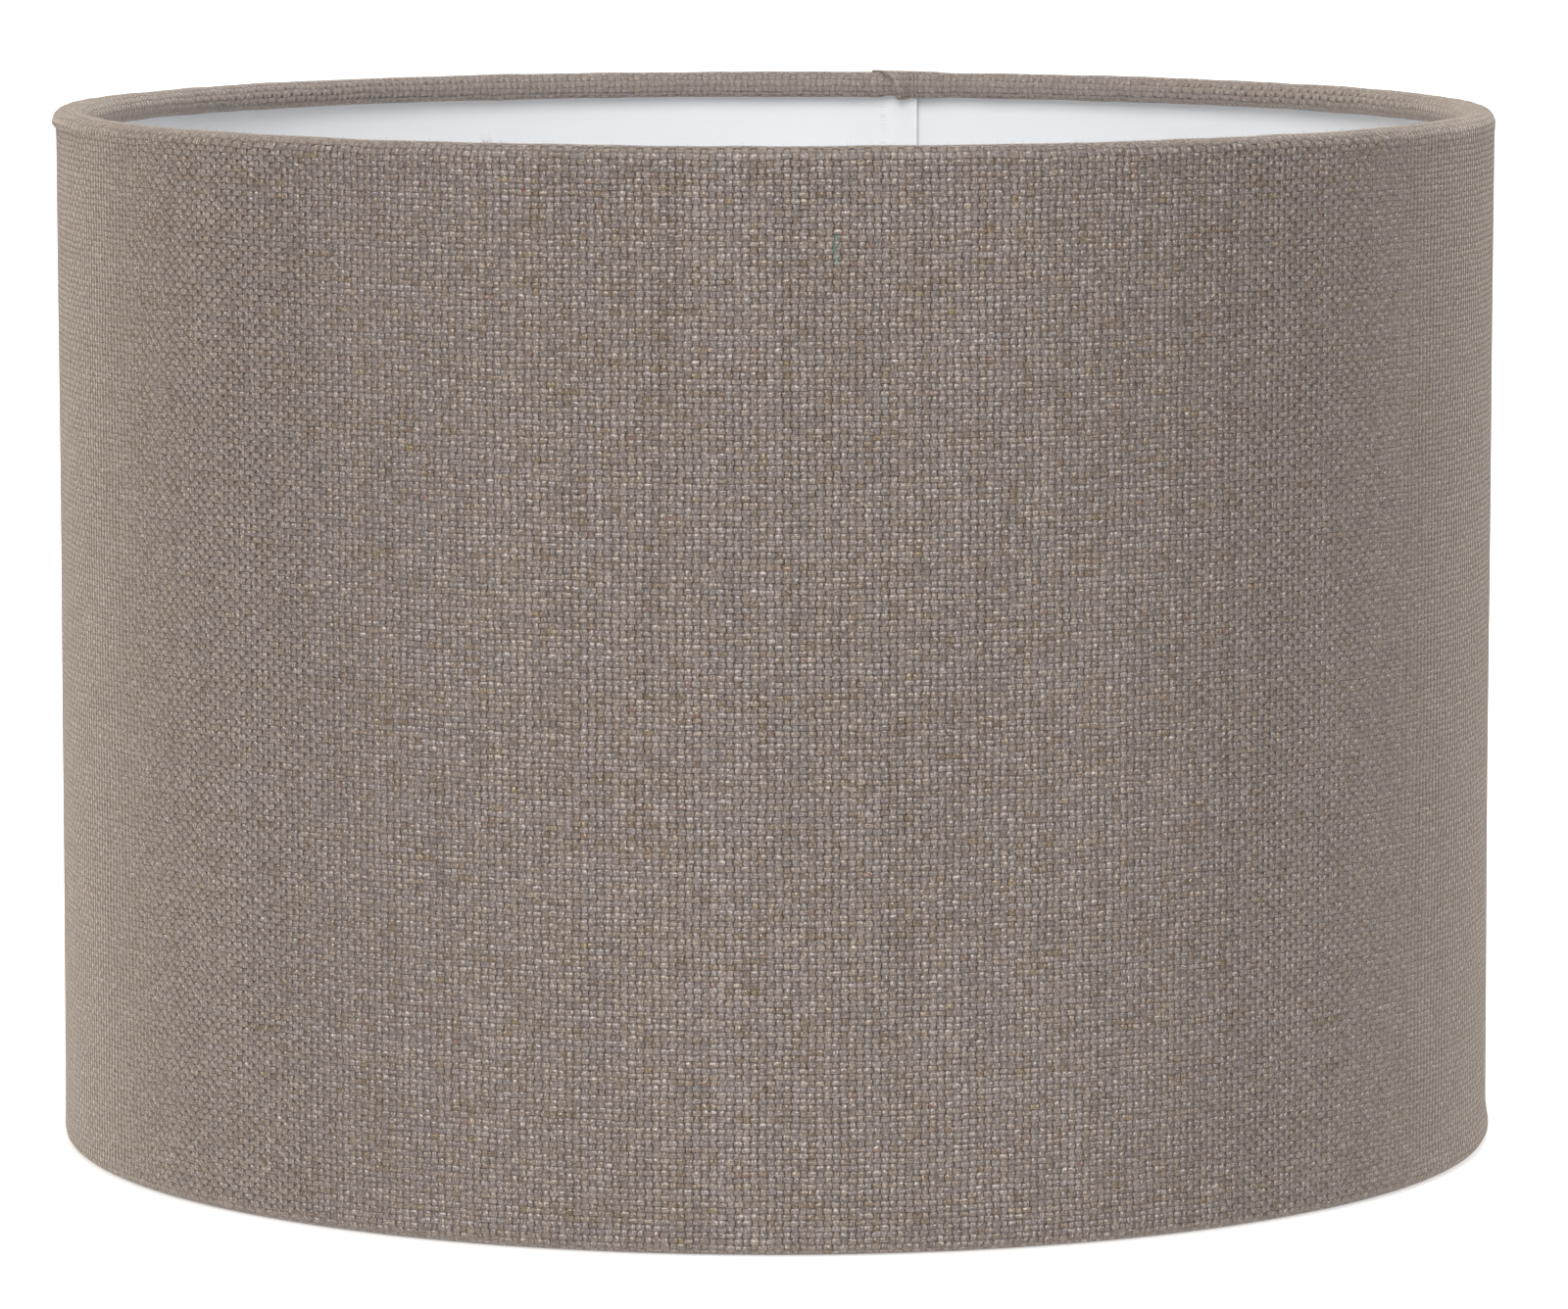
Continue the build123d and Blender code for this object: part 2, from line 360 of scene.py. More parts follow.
def lap_lift(warp):
    """How far the strip's last threads stand out to lie on its first ones."""
    return (CLOTH + LAP_AIR) * smooth_step((warp - WARPS + 4) / 3.5)


def slant(normal_angle):
    """How far the free end of the lap has slid round the drum on the top roll, in threads."""
    return SEAM_SLIDE * smooth_step((normal_angle - math.radians(60)) / math.radians(120))


def slid_angle(warp, normal_angle):
    """The lap's last threads crowd together, so that its end runs aslant over the top roll."""
    crowding = smooth_step((warp - WARPS) / LAP_WARPS)
    return START_ANGLE + (warp - slant(normal_angle) * crowding) * pitch_angle


def crease(warp, normal_angle):
    """The pinch beside the slanting end: the lap's end curls up, the layer below is drawn in."""
    seen = smooth_step((normal_angle - math.radians(75)) / math.radians(40))
    end = LAP_WARPS - slant(normal_angle)
    hollow = np.exp(-((warp - end - 1.0) / 1.1) ** 2)
    curl = smooth_step((warp - WARPS - LAP_WARPS + 2.5) / 2.0)
    fold = np.exp(-((warp - WARPS - 3.6) / 0.8) ** 2) * smooth_step((normal_angle - 2.0) / 0.6)
    return seen * (0.24 * curl - 0.40 * hollow - 0.32 * fold)


def roll_puff(angle, normal_angle, side):
    """Small slack of the cloth round the wire, always outwards."""
    slack = wander(angle, [(13, 0.035), (31, 0.03), (73, 0.02)], 30 + side)
    across = wander(normal_angle * 2 + angle * 40, [(1, 0.02), (2, 0.015)], 40)
    return MM * (0.12 + slack + across)


def lip_of(side, kind, share, normal):
    """Where the roll bulges past the wall: at the top on the left, at the bottom on the right."""
    if side > 0:
        size = 0.66 * hill(column_angle, math.pi, math.radians(36))
        size = size + 0.12 * hill(column_angle, math.radians(300), math.radians(40))
        below = 0.9 * MM
    else:
        size = 0.36 * hill(column_angle, 0.0, math.radians(55))
        below = 5.0 * MM
    if kind == "wall":
        return MM * size * smooth_step(1 - share * wall_length / below)
    return MM * size * smooth_step((math.radians(100) - np.abs(normal)) / math.radians(70))


# %% [markdown]
# Every row of the grid is a circle round the drum, pushed about by those departures. The outer
# and the inner face share one normal, so the cloth keeps its thickness round both rolls. The
# cloth is glued flat and wrapped tight, so its shape is known and needs no cloth simulation.

# %% Build the cloth's two faces
def cloth_grids():
    """The outer and inner grids of points, and each point's thread number up the strip."""
    outer, inner, weft_place = [], [], []
    for side, kind, share in rows:
        roll_z = BOTTOM_Z if side < 0 else TOP_Z
        turned = math.radians(90) * side
        turn = turn_of(column_angle, side)
        centre_r = np.full_like(column_angle, CORNER_RADIUS)
        centre_z = np.full_like(column_angle, roll_z)
        normal = np.zeros_like(column_angle)
        length = np.full_like(column_angle, wall_length / 2)
        if kind == "wall":
            centre_z = centre_z - side * share * wall_length
            length = length - share * wall_length
        if kind == "corner":
            normal = normal + turned * (1 - share)
            length = length + corner_length * (1 - share)
        if kind == "flat":
            normal = normal + turned
            centre_r = np.full_like(column_angle, RING_RADIUS + flat_length * share)
            length = length + corner_length + flat_length * (1 - share)
        if kind == "tuck":
            normal = side * (math.pi / 2 + turn * share)
            centre_r = np.full_like(column_angle, RING_RADIUS)
            length = length + corner_length + flat_length + cloth_middle * turn * share
        off_wire = roll_puff(column_angle, normal, side)
        if side < 0:
            off_wire = off_wire * (1 - 0.9 * np.clip(-np.sin(normal), 0, 1))
        if kind == "wall":
            off_wire = off_wire * smooth_step(1 - share * wall_length / (3 * MM))
        lift = lap_lift(warp_numbers)
        if kind != "wall":
            pressed = 0.85 if side < 0 else 0.68
            lift = lift * (1 - pressed * smooth_step(np.abs(normal) / math.radians(80)))
        push = off_wire + lift + lip_of(side, kind, share, normal)
        if side > 0 and kind != "wall":
            push = push + MM * crease(warp_numbers, normal)
        push = push + wall_wave(column_angle, centre_z) * (kind == "wall")
        angle = column_angle
        if side > 0 and kind == "tuck":
            angle = slid_angle(warp_numbers, normal)
        for grid, radius in ((outer, ROLL_RADIUS), (inner, TAPED_RADIUS)):
            away = radius + push
            across = centre_r + away * np.cos(normal)
            up = centre_z + away * np.sin(normal)
            grid.append(np.stack([across * np.cos(angle), across * np.sin(angle), up], -1))
        weft_place.append(side * length)
    return np.array(outer), np.array(inner), np.array(weft_place)


outer_grid, inner_grid, strip_place = cloth_grids()
cloth = closed_sheet("linen_cover", outer_grid, inner_grid)
print("linen:", len(cloth.data.polygons), "faces")

# %% [markdown]
# The weave's map is laid by counting, not by unwrapping: a face knows its thread numbers, so it
# knows its place in the pattern. The pattern repeats four times round the drum, which gives each
# thread four times as many texels when the look is baked for use elsewhere.

# %% Lay the weave's map
def lay_thread_map(piece, warps, wefts):
    """Writes the map from each vertex's thread numbers, one pattern repeat to a unit square."""
    mesh = piece.data
    layer = mesh.uv_layers.new(name="OFBake")
    loops = len(mesh.loops)
    vertex = np.empty(loops, dtype=np.int32)
    mesh.loops.foreach_get("vertex_index", vertex)
    u = warps[vertex] / PATTERN_WARPS
    v = wefts[vertex]
    starts = np.empty(len(mesh.polygons), dtype=np.int32)
    totals = np.empty(len(mesh.polygons), dtype=np.int32)
    mesh.polygons.foreach_get("loop_start", starts)
    mesh.polygons.foreach_get("loop_total", totals)
    face = np.repeat(np.arange(len(starts)), totals)
    middle_u = np.bincount(face, weights=u) / totals
    u = np.clip(u - np.floor(middle_u)[face], 0, 1)
    layer.data.foreach_set("uv", np.stack([u, v], -1).astype(np.float32).ravel())


warp_of_point = np.tile(np.broadcast_to(warp_numbers, strip_place.shape).ravel(), 2)
weft_of_point = np.tile((strip_place / strip_width + 0.5).ravel(), 2)
lay_thread_map(cloth, warp_of_point, weft_of_point)
print("map: four repeats of", PATTERN_WARPS, "warps by", weft_count, "wefts")

# %% [markdown]
# ## Node helpers
# The looks are made of small reusable groups. Each group gives out only values and colours, and
# the shader itself stays in the material, where its plain numbers can be read and changed.

# %% Node helpers
def join(tree, value, socket):
    """Links a socket, or sets a plain value."""
    if isinstance(value, bpy.types.NodeSocket):
        tree.links.new(value, socket)
    else:
        socket.default_value = value


def maths(tree, operation, *values):
    """A maths node's result."""
    node = tree.nodes.new("ShaderNodeMath")
    node.operation = operation
    for value, socket in zip(values, node.inputs):
        join(tree, value, socket)
    return node.outputs[0]


def ramp_value(tree, value, low, high, at_low=0.0, at_high=1.0):
    """Value remapped smoothly from low..high."""
    node = tree.nodes.new("ShaderNodeMapRange")
    node.interpolation_type = "SMOOTHSTEP"
    for item, socket in zip((value, low, high, at_low, at_high), node.inputs):
        join(tree, item, socket)
    return node.outputs[0]


def vector_of(tree, x, y, z):
    """Three values as one vector."""
    node = tree.nodes.new("ShaderNodeCombineXYZ")
    for value, socket in zip((x, y, z), node.inputs):
        join(tree, value, socket)
    return node.outputs[0]


def noise(tree, vector, scale, detail=2.0, roughness=0.5):
    """Smooth noise between 0 and 1."""
    node = tree.nodes.new("ShaderNodeTexNoise")
    join(tree, vector, node.inputs["Vector"])
    node.inputs["Scale"].default_value = scale
    node.inputs["Detail"].default_value = detail
    node.inputs["Roughness"].default_value = roughness
    return node.outputs[0]


def lottery(tree, vector):
    """A random number, fixed for each value of the vector."""
    node = tree.nodes.new("ShaderNodeTexWhiteNoise")
    node.noise_dimensions = "3D"
    join(tree, vector, node.inputs["Vector"])
    return node.outputs["Value"]


def tint(tree, factor, first, second, blend="MIX"):
    """Two colours mixed."""
    node = tree.nodes.new("ShaderNodeMix")
    node.data_type = "RGBA"
    node.blend_type = blend
    join(tree, factor, node.inputs[0])
    join(tree, first, node.inputs[6])
    join(tree, second, node.inputs[7])
    return node.outputs[2]


def group_of(name, inputs, outputs):
    """An empty node group with named inputs (name, kind, default) and outputs (name, kind)."""
    tree = bpy.data.node_groups.new(name, "ShaderNodeTree")
    for label, kind, value in inputs:
        socket = tree.interface.new_socket(name=label, in_out="INPUT", socket_type=kind)
        if value is not None:
            socket.default_value = value
    for label, kind in outputs:
        tree.interface.new_socket(name=label, in_out="OUTPUT", socket_type=kind)
    return tree, tree.nodes.new("NodeGroupInput").outputs, tree.nodes.new("NodeGroupOutput").inputs


def use_group(tree, group, **values):
    """A group node in a tree; names with underscores stand for its spaced labels."""
    node = tree.nodes.new("ShaderNodeGroup")
    node.node_tree = group
    for name, value in values.items():
        join(tree, value, node.inputs[name.replace("_", " ")])
    return node.outputs


def new_material(name):
    """A material with one Principled shader; returns the material, its tree and the shader."""
    material = bpy.data.materials.new(name)
    material.use_nodes = True
    tree = material.node_tree
    tree.nodes.clear()
    shader = tree.nodes.new("ShaderNodeBsdfPrincipled")
    output = tree.nodes.new("ShaderNodeOutputMaterial")
    tree.links.new(shader.outputs[0], output.inputs["Surface"])
    return material, tree, shader


def bump(tree, height, distance, strength=1.0):
    """A bump's normal."""
    node = tree.nodes.new("ShaderNodeBump")
    node.inputs["Strength"].default_value = strength
    node.inputs["Distance"].default_value = distance
    join(tree, height, node.inputs["Height"])
    return node.outputs[0]


# %% [markdown]
# ## The plain weave
# In a plain weave each thread goes over one and under the next. Round a crossing the height of
# a thread is a cosine along it and a round back across it, and the thread that shows is the
# higher of the two. Everything else follows from that pair of heights: the thread on top decides
# the colour, painted shade darkens the thin lines where the two meet and the low places between
# threads, and painted highlights go on the top edges of the weft floats. Real linen is spun
# unevenly, so the thread grid is first pulled about by noise, and every thread has a colour of its
# own that drifts along its length. The noise lives on a cylinder, which is how it meets itself at
# the pattern's edge.

# %% The weave group
FLOAT = "NodeSocketFloat"
COLOUR = "NodeSocketColor"


def build_weave():
    """Linen's height, thread masks and colour from the place in the pattern."""
    tree, given, out = group_of(
        "linen_weave",
        [("Place", "NodeSocketVector", None), ("Warps", FLOAT, float(PATTERN_WARPS)),
         ("Wefts", FLOAT, float(weft_count)), ("Pull", FLOAT, 0.19), ("Crown", FLOAT, 0.5)],
        [("Height", FLOAT), ("Weft On Top", FLOAT), ("Thread Colour", COLOUR),
         ("Painted Glint", FLOAT), ("Upper", FLOAT)],
    )
    split = tree.nodes.new("ShaderNodeSeparateXYZ")
    tree.links.new(given["Place"], split.inputs[0])
    u, v = split.outputs[0], split.outputs[1]
    turn = maths(tree, "MULTIPLY", u, 2 * math.pi)
    reach = maths(tree, "DIVIDE", given["Warps"], 2 * math.pi)
    round_x = maths(tree, "MULTIPLY", maths(tree, "COSINE", turn), reach)
    round_y = maths(tree, "MULTIPLY", maths(tree, "SINE", turn), reach)
    warp_line = maths(tree, "MULTIPLY", u, given["Warps"])
    weft_line = maths(tree, "MULTIPLY", v, given["Wefts"])
    rise = maths(tree, "MULTIPLY", weft_line, 0.75)
    here = vector_of(tree, round_x, round_y, rise)
    there = vector_of(tree, round_y, rise, round_x)

    def pulled(line, place, coarse_scale):
        broad = maths(tree, "SUBTRACT", noise(tree, place, coarse_scale, 1.0), 0.5)
        small = maths(tree, "SUBTRACT", noise(tree, place, 0.9, 1.0), 0.5)
        both = maths(tree, "MULTIPLY_ADD", small, 0.9, maths(tree, "MULTIPLY", broad, 3.0))
        return maths(tree, "MULTIPLY_ADD", both, given["Pull"], line)

    warp_pulled = pulled(warp_line, here, 0.16)
    weft_pulled = pulled(weft_line, there, 0.22)
    warp_number = maths(tree, "FLOOR", warp_pulled)
    weft_number = maths(tree, "FLOOR", weft_pulled)
    warp_ahead = maths(tree, "ADD", warp_number, given["Warps"])
    warp_wrapped = maths(tree, "MODULO", warp_ahead, given["Warps"])
    across_warp = maths(tree, "SUBTRACT", maths(tree, "FRACT", warp_pulled), 0.5)
    across_weft = maths(tree, "SUBTRACT", maths(tree, "FRACT", weft_pulled), 0.5)
    cell = maths(tree, "ADD", warp_number, weft_number)
    odd = maths(tree, "ABSOLUTE", maths(tree, "MODULO", cell, 2.0))
    sign = maths(tree, "MULTIPLY_ADD", odd, -2.0, 1.0)

    warp_luck = lottery(tree, vector_of(tree, warp_wrapped, 3.7, 1.0))
    weft_luck = lottery(tree, vector_of(tree, weft_number, 9.1, 2.0))
    cell_luck = lottery(tree, vector_of(tree, warp_wrapped, weft_number, 5.0))

    warp_thread = vector_of(tree, maths(tree, "MULTIPLY", warp_wrapped, 17.3), rise,
                            maths(tree, "MULTIPLY", warp_wrapped, 5.1))
    weft_apart = maths(tree, "MULTIPLY", weft_number, 61.7)
    weft_thread = vector_of(tree, maths(tree, "ADD", round_x, weft_apart), round_y,
                            maths(tree, "MULTIPLY", weft_number, 3.3))

    warp_fat = maths(tree, "SUBTRACT", noise(tree, warp_thread, 0.35, 1.0), 0.5)
    weft_fat = maths(tree, "SUBTRACT", noise(tree, weft_thread, 0.30, 1.0), 0.5)

    def back_of(across, narrow, fat):
        """A thread's round back, from 0 on top to -1 at its sides."""
        width = maths(tree, "MULTIPLY_ADD", fat, -1.1, narrow)
        edge = maths(tree, "MULTIPLY", across, width)
        inside = maths(tree, "SUBTRACT", 1.0, maths(tree, "MULTIPLY", edge, edge))
        root = maths(tree, "SQRT", maths(tree, "MAXIMUM", inside, 0.0))
        return maths(tree, "SUBTRACT", root, 1.0)

    def swing(across, direction):
        """A thread's rise over and dip under the other one."""
        wave = maths(tree, "COSINE", maths(tree, "MULTIPLY", across, math.pi))
        lift = maths(tree, "MULTIPLY", maths(tree, "MULTIPLY", wave, sign), direction)
        return maths(tree, "MULTIPLY", lift, given["Crown"])

    weft_back = back_of(across_weft, 1.92, weft_fat)
    warp_back = back_of(across_warp, 2.12, warp_fat)
    weft_height = maths(tree, "ADD", swing(across_warp, 1.0), weft_back)
    weft_height = maths(tree, "ADD", weft_height, 0.08)
    warp_height = maths(tree, "ADD", swing(across_weft, -1.0), warp_back)
    gap = maths(tree, "SUBTRACT", weft_height, warp_height)
    higher = maths(tree, "MAXIMUM", weft_height, warp_height)
    weft_on_top = ramp_value(tree, gap, -0.05, 0.05)

    # Painted shade: the lines where two threads meet and the low places between threads are
    # darkened in the colour, standing in for the shadow that falls there.
    beside_warp = ramp_value(tree, maths(tree, "ABSOLUTE", across_warp), 0.22, 0.42)
    beside_weft = ramp_value(tree, maths(tree, "ABSOLUTE", across_weft), 0.22, 0.42)
    nearness = maths(tree, "ABSOLUTE", gap)
    close = ramp_value(tree, nearness, 0.08, 0.85, 1.0, 0.0)
    closer = ramp_value(tree, nearness, 0.02, 0.55, 1.0, 0.0)
    upright = maths(tree, "MULTIPLY", close, beside_warp)
    level = maths(tree, "MULTIPLY", closer, beside_weft)
    meeting = maths(tree, "MAXIMUM", upright, maths(tree, "MULTIPLY", level, 0.9))
    low = ramp_value(tree, higher, -0.62, 0.08, 1.0, 0.0)
    painted_slit_shade = maths(tree, "MAXIMUM", meeting, low)

    up_place = vector_of(tree, maths(tree, "MULTIPLY", warp_pulled, 5.0), rise, 4.0)
    along_place = vector_of(tree, maths(tree, "MULTIPLY", weft_pulled, 5.0),
                            maths(tree, "MULTIPLY", round_x, 0.9),
                            maths(tree, "MULTIPLY", round_y, 0.9))
    fibres_up = noise(tree, up_place, 1.0, 2.0)
    fibres_along = noise(tree, along_place, 1.0, 2.0)
    fibre_step = tree.nodes.new("ShaderNodeMix")
    join(tree, weft_on_top, fibre_step.inputs[0])
    join(tree, fibres_up, fibre_step.inputs[2])
    join(tree, fibres_along, fibre_step.inputs[3])
    fibres = ramp_value(tree, fibre_step.outputs[0], 0.34, 0.66)
    crumb_place = vector_of(tree, maths(tree, "MULTIPLY", warp_pulled, 3.3),
                            maths(tree, "MULTIPLY", weft_pulled, 2.8), 0.5)
    crumbs = noise(tree, crumb_place, 1.0, 1.0)
    height = maths(tree, "MULTIPLY_ADD", fibres, 0.30, higher)
    painted_slit_shade = maths(tree, "MULTIPLY", painted_slit_shade, ramp_value(tree, crumbs, 0.30, 0.58, 1.0, 0.62))

    grey = (0.284, 0.233, 0.200, 1)
    tan = (0.280, 0.213, 0.158, 1)
    pale = (0.356, 0.303, 0.268, 1)
    cool = (0.263, 0.221, 0.208, 1)
    brown = (0.215, 0.154, 0.102, 1)
    olive_slub = (0.240, 0.175, 0.092, 1)
    rusty_slub = (0.29, 0.18, 0.14, 1)
    # the colour of the painted shade between threads
    painted_gap_shade = (0.018, 0.012, 0.009, 1)
    # the colour of the painted highlights
    painted_glint_white = (0.82, 0.77, 0.73, 1)

    def drift(place, luck):
        """A thread's colour along its length."""
        warm = ramp_value(tree, noise(tree, place, 0.36, 2.0), 0.50, 0.68)
        dusky = ramp_value(tree, noise(tree, place, 0.21, 1.0), 0.60, 0.72)
        light = ramp_value(tree, noise(tree, place, 0.75, 2.0), 0.52, 0.74)
        colour = tint(tree, ramp_value(tree, luck, 0.1, 0.9), grey, cool)
        colour = tint(tree, maths(tree, "MULTIPLY", warm, 0.6), colour, tan)
        colour = tint(tree, maths(tree, "MULTIPLY", light, 0.5), colour, pale)
        return tint(tree, maths(tree, "MULTIPLY", dusky, 0.7), colour, brown)

    colour = tint(tree, weft_on_top, drift(warp_thread, warp_luck), drift(weft_thread, weft_luck))
    olive = maths(tree, "GREATER_THAN", cell_luck, 0.993)
    rusty = maths(tree, "LESS_THAN", cell_luck, 0.005)
    colour = tint(tree, maths(tree, "MULTIPLY", olive, 0.62), colour, olive_slub)
    colour = tint(tree, maths(tree, "MULTIPLY", rusty, 0.6), colour, rusty_slub)
    shade = maths(tree, "MULTIPLY_ADD", cell_luck, 0.16, 0.92)
    shade = maths(tree, "MULTIPLY", shade, maths(tree, "MULTIPLY_ADD", fibres, 0.42, 0.76))
    shade = maths(tree, "MULTIPLY", shade, maths(tree, "MULTIPLY_ADD", crumbs, 1.3, 0.35))
    both_luck = maths(tree, "ADD", warp_luck, weft_luck)
    thread_shade = maths(tree, "MULTIPLY_ADD", both_luck, 0.06, 0.94)
    streak_place = vector_of(tree, round_x, round_y, maths(tree, "MULTIPLY", rise, 0.06))
    streak = maths(tree, "MULTIPLY_ADD", noise(tree, streak_place, 0.32, 2.0), 0.34, 0.83)
    shade = maths(tree, "MULTIPLY", maths(tree, "MULTIPLY", shade, thread_shade), streak)
    colour = tint(tree, 1.0, colour, vector_of(tree, shade, shade, shade), "MULTIPLY")
    # painted shade mixed into the colour between threads
    colour = tint(tree, maths(tree, "MULTIPLY", painted_slit_shade, 0.94), colour, painted_gap_shade)
    # Painted highlight: pale glints are mixed into the colour along the top edges of the weft
    # floats, where the lamps above would catch them. The same mask makes these spots a little
    # smoother.
    upper = ramp_value(tree, across_weft, -0.15, 0.28)
    painted_glint = maths(tree, "MULTIPLY", upper, ramp_value(tree, higher, -0.05, 0.30))
    painted_glint = maths(tree, "MULTIPLY", painted_glint, ramp_value(tree, crumbs, 0.50, 0.66))
    painted_glint = maths(tree, "MULTIPLY", painted_glint, maths(tree, "MULTIPLY_ADD", fibres, 0.7, 0.3))
    colour = tint(tree, maths(tree, "MULTIPLY", painted_glint, 0.85), colour, painted_glint_white)

    tree.links.new(height, out["Height"])
    tree.links.new(weft_on_top, out["Weft On Top"])
    tree.links.new(colour, out["Thread Colour"])
    tree.links.new(painted_glint, out["Painted Glint"])
    tree.links.new(ramp_value(tree, across_weft, -0.22, 0.16), out["Upper"])
    return tree


linen_weave = build_weave()
print("weave group:", len(linen_weave.nodes), "nodes")

# %% [markdown]
# The linen's material feeds that group with the map. Sheen stands for the fuzz that catches
# light at the drum's sides, where cloth always looks paler than it does face on. Seen aslant,
# the humps of a real weave hide what is behind them, which a flat map can't do by itself. So as
# the cloth turns away, painted shade darkens its sunken warps and painted light makes its wefts
# on top a little paler. Painted shade also darkens the far flank of each hump, standing for the
# shadow in the hollow that would open there, while painted light makes the near flank paler. The
# rolls are painted paler too, partly as painted light for their upturned faces and partly for wear.

# %% The linen material
THREAD_RELIEF = 0.34 * MM
# Colours mixed into the linen: painted shade, painted light, the paler tone of the rolls (painted
# light and wear), and a painted shadow for the hollows.
painted_shade_linen = (0.10, 0.072, 0.055, 1)
painted_light_linen = (0.46, 0.39, 0.34, 1)
lit_and_worn_linen = (0.37, 0.32, 0.285, 1)
painted_pit_shadow = (0.030, 0.021, 0.016, 1)


def build_linen():
    """Linen seen from any side: the weave, painted shade and painted light on its humps seen
    aslant, and rolls painted paler.
    """
    material, tree, shader = new_material("cover_linen")
    place = tree.nodes.new("ShaderNodeUVMap")
    place.uv_map = "OFBake"
    weave = use_group(tree, linen_weave, Place=place.outputs[0])
    slope = tree.nodes.new("ShaderNodeLayerWeight").outputs["Facing"]
    aslant = ramp_value(tree, slope, 0.22, 0.70)
    warp_on_top = maths(tree, "SUBTRACT", 1.0, weave["Weft On Top"])
    # Painted shade: seen aslant, the warps on top are darkened in the colour, and the wefts on top
    # are made a little paler as painted light.
    hidden = ramp_value(tree, slope, 0.78, 0.90, 0.48, 0.24)
    painted_sunk_shade = maths(tree, "MULTIPLY", maths(tree, "MULTIPLY", aslant, warp_on_top), hidden)
    painted_raised_light = maths(tree, "MULTIPLY", maths(tree, "MULTIPLY", aslant, weave["Weft On Top"]), 0.03)
    colour = tint(tree, painted_sunk_shade, weave["Thread Colour"], painted_shade_linen)
    colour = tint(tree, painted_raised_light, colour, painted_light_linen)
    # Paler rolls: on the rolls the colour is mixed towards a paler tone. This is partly painted
    # light for their upturned faces and partly wear from rubbing.
    split = tree.nodes.new("ShaderNodeSeparateXYZ")
    tree.links.new(place.outputs[0], split.inputs[0])
    from_middle = maths(tree, "ABSOLUTE", maths(tree, "SUBTRACT", split.outputs[1], 0.5))
    wall_share = wall_length / 2 / strip_width
    rubbed_and_lit = ramp_value(tree, from_middle, wall_share - 0.002, wall_share + 0.012)
    handled_and_lit = ramp_value(tree, from_middle, wall_share + 0.020, wall_share + 0.036)
    painted_light_and_wear = maths(tree, "MULTIPLY_ADD", handled_and_lit, 0.20, maths(tree, "MULTIPLY", rubbed_and_lit, 0.36))
    colour = tint(tree, painted_light_and_wear, colour, lit_and_worn_linen)
    normal = bump(tree, weave["Height"], THREAD_RELIEF)
    tree.links.new(normal, shader.inputs["Normal"])
    # Painted shade and painted light: where the bumped normal turns further away than the surface,
    # the far flank of each hump is darkened in the colour as a painted shadow of the hollow behind
    # it, and the near flank is made paler as painted light.
    turned = tree.nodes.new("ShaderNodeLayerWeight")
    tree.links.new(normal, turned.inputs["Normal"])
    lean = maths(tree, "SUBTRACT", turned.outputs["Facing"], slope)
    oblique = ramp_value(tree, slope, 0.06, 0.34)
    painted_pit_shade = maths(tree, "MULTIPLY", ramp_value(tree, lean, 0.06, 0.38), oblique)
    painted_pit_shade = maths(tree, "MULTIPLY", painted_pit_shade, maths(tree, "MULTIPLY_ADD", weave["Upper"], 0.75, 0.25))
    painted_flank_light = maths(tree, "MULTIPLY", ramp_value(tree, lean, -0.35, -0.02, 1.0, 0.0), oblique)
    colour = tint(tree, maths(tree, "MULTIPLY", painted_pit_shade, 0.92), colour, painted_pit_shadow)
    colour = tint(tree, maths(tree, "MULTIPLY", painted_flank_light, 0.22), colour, painted_light_linen)
    tree.links.new(colour, shader.inputs["Base Color"])
    rough = maths(tree, "MULTIPLY_ADD", weave["Painted Glint"], -0.2, 0.72)
    tree.links.new(rough, shader.inputs["Roughness"])
    shader.inputs["Sheen Weight"].default_value = 0.85
    shader.inputs["Sheen Roughness"].default_value = 0.16
    shader.inputs["Sheen Tint"].default_value = (1.0, 0.88, 0.77, 1)
    shader.inputs["Specular IOR Level"].default_value = 0.35
    return material


cover_linen = build_linen()
cloth.data.materials.append(cover_linen)
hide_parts("fabric_cover")
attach(cloth, "shade")
print("linen material on", cloth.name)

# %% [markdown]
# ## The liner
# The liner is a thin sheet of styrene. Its strip overlaps itself at the seam too: one end
# lies outside, and the other passes over it on the inside and stops in a free edge that curls
# a little away and throws a fine shadow.

# %% Build the liner
LINER_LAP = 6.6 * MM
STEP_RUN = 6.0 * MM
STEP_IN = 0.5 * MM              # the sheet's own thickness and the seam tape's
EDGE_CURL = 0.8 * MM
RIPPLE = 0.06 * MM
liner_face = DRUM_RADIUS - CLOTH - LINER / 2
half_lap = LINER_LAP / 2 / liner_face
free_edge = SEAM_ANGLE - half_lap
liner_end = SEAM_ANGLE + 2 * math.pi + half_lap
step_angle = STEP_RUN / liner_face
liner_angle = np.unique(np.concatenate([
    np.linspace(free_edge, free_edge + 3 * half_lap + step_angle, 70),
    np.arange(free_edge, liner_end, math.radians(1.5)),
    [liner_end],
]))
liner_height = np.linspace(liner_low.z, liner_high.z, 40)


def liner_grid(shift):
    """Points of one face of the liner; shift is its distance outside the middle of the sheet."""
    angle, height = np.meshgrid(liner_angle, liner_height)
    inwards = STEP_IN * (1 - smooth_step((angle - free_edge - 2 * half_lap) / step_angle))
    curl = EDGE_CURL * smooth_step(1 - (angle - free_edge) / (1.4 * half_lap))
    up_turn = height / wall_length * 2 * math.pi
    curl = curl * (0.75 + 0.25 * wander(up_turn, [(1, 0.6), (3, 0.4)], 51))
    ripple = RIPPLE * wander(angle + height * 9, [(5, 0.6), (11, 0.4)], 52)
    up_share = math.pi * (height - liner_low.z) / (liner_high.z - liner_low.z)
    ripple = (ripple - RIPPLE) * np.sin(up_share)
    radius = liner_face + shift - inwards - curl + ripple
    return np.stack([radius * np.cos(angle), radius * np.sin(angle), height], -1)


